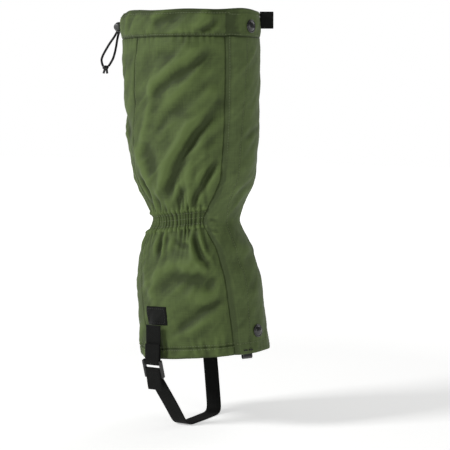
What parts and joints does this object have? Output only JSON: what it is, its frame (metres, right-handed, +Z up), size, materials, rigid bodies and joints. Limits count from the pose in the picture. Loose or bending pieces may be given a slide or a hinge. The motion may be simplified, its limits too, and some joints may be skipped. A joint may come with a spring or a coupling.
{
  "type": "boot gaiter",
  "caption": "Knee-high nylon gaiter for the right leg with a front flap, snap and tape closure, drawcord top, gathered ankle, lace hook and instep strap.",
  "frame": {"origin": "middle of the instep strap's top face, where the sole of the boot bears", "axes": "+X to the toe, +Y to the wearer's left leg, +Z up along the leg"},
  "size_m": [0.2269, 0.1351, 0.4914],
  "materials": {
    "shell_fabric": "woven nylon, soft sheen",
    "elastic": "knitted elastic",
    "cord": "braided elastic cord",
    "webbing": "woven webbing",
    "fastener_tape": "hook and loop tape",
    "patch": "coated cloth",
    "plastic": "moulded acetal",
    "snap_metal": "black enamelled brass",
    "plain_metal": "nickel plated"
  },
  "bodies": {
    "gaiter": {"lateral_panel": "shell_fabric", "back_panel": "shell_fabric", "medial_panel": "shell_fabric", "front_underlap": "shell_fabric", "top_hem": "shell_fabric", "bottom_hem": "shell_fabric", "hem_elastic": "elastic", "ankle_elastic": "elastic", "drawcord_lateral": "cord", "drawcord_medial": "cord", "cord_eyelet": "snap_metal", "loop_tape": "fastener_tape", "stud_top": "plain_metal", "stud_foot": "plain_metal", "lateral_patch": "patch", "medial_patch": "patch"},
    "flap": {"front_flap": "shell_fabric", "flap_top_band": "shell_fabric", "hook_tape": "fastener_tape", "cap_top": "snap_metal", "cap_foot": "snap_metal", "socket_top": "plain_metal", "socket_foot": "plain_metal", "lace_hook": "snap_metal"},
    "tab": {"pull_tab": "webbing"},
    "cord_tail": {"cord_tail_outer": "cord", "cord_tail_inner": "cord", "cord_knot": "cord"},
    "cord_lock": {"lock_barrel": "plastic", "lock_spring": "plain_metal"},
    "plunger": {"lock_plunger": "plastic"},
    "stirrup": {"keeper_webbing": "webbing", "instep_strap": "webbing"},
    "buckle": {"ladder_lock": "plastic", "strap_tail": "webbing"}
  },
  "joints": [
    {"name": "flap_hinge", "type": "hinge", "parent": "gaiter", "child": "flap", "pos_m": [0.04925, -0.038, 0.28], "axis": [0, 0, -1], "range_deg": [0, 90]},
    {"name": "tab_hinge", "type": "hinge", "parent": "flap", "child": "tab", "pos_m": [0.06772, 0.0292, 0.48], "axis": [0, 0, 1], "range_deg": [-30, 50]},
    {"name": "tail_swing", "type": "hinge", "parent": "gaiter", "child": "cord_tail", "pos_m": [-0.0997, -0.006, 0.479], "axis": [0, 1, 0], "range_deg": [0, 35]},
    {"name": "lock_slide", "type": "slide", "parent": "cord_tail", "child": "cord_lock", "axis": [-0.6984, 0, -0.7157], "range_m": [0, 0.012], "deforming": ["cord_tail_outer", "cord_tail_inner"]},
    {"name": "plunger_press", "type": "slide", "parent": "cord_lock", "child": "plunger", "axis": [0, 1, 0], "range_m": [0, 0.002], "stiffness_N_per_m": 900, "deforming": ["lock_spring"]},
    {"name": "stirrup_swing", "type": "hinge", "parent": "gaiter", "child": "stirrup", "pos_m": [-0.024, 0, 0.118], "axis": [0, 1, 0], "range_deg": [-30, 30], "stiffness_Nm_per_rad": 0.08},
    {"name": "buckle_tilt", "type": "hinge", "parent": "stirrup", "child": "buckle", "pos_m": [-0.024, -0.06685, 0.077], "axis": [-1, 0, 0], "range_deg": [0, 40], "stiffness_Nm_per_rad": 0.02}
  ]
}
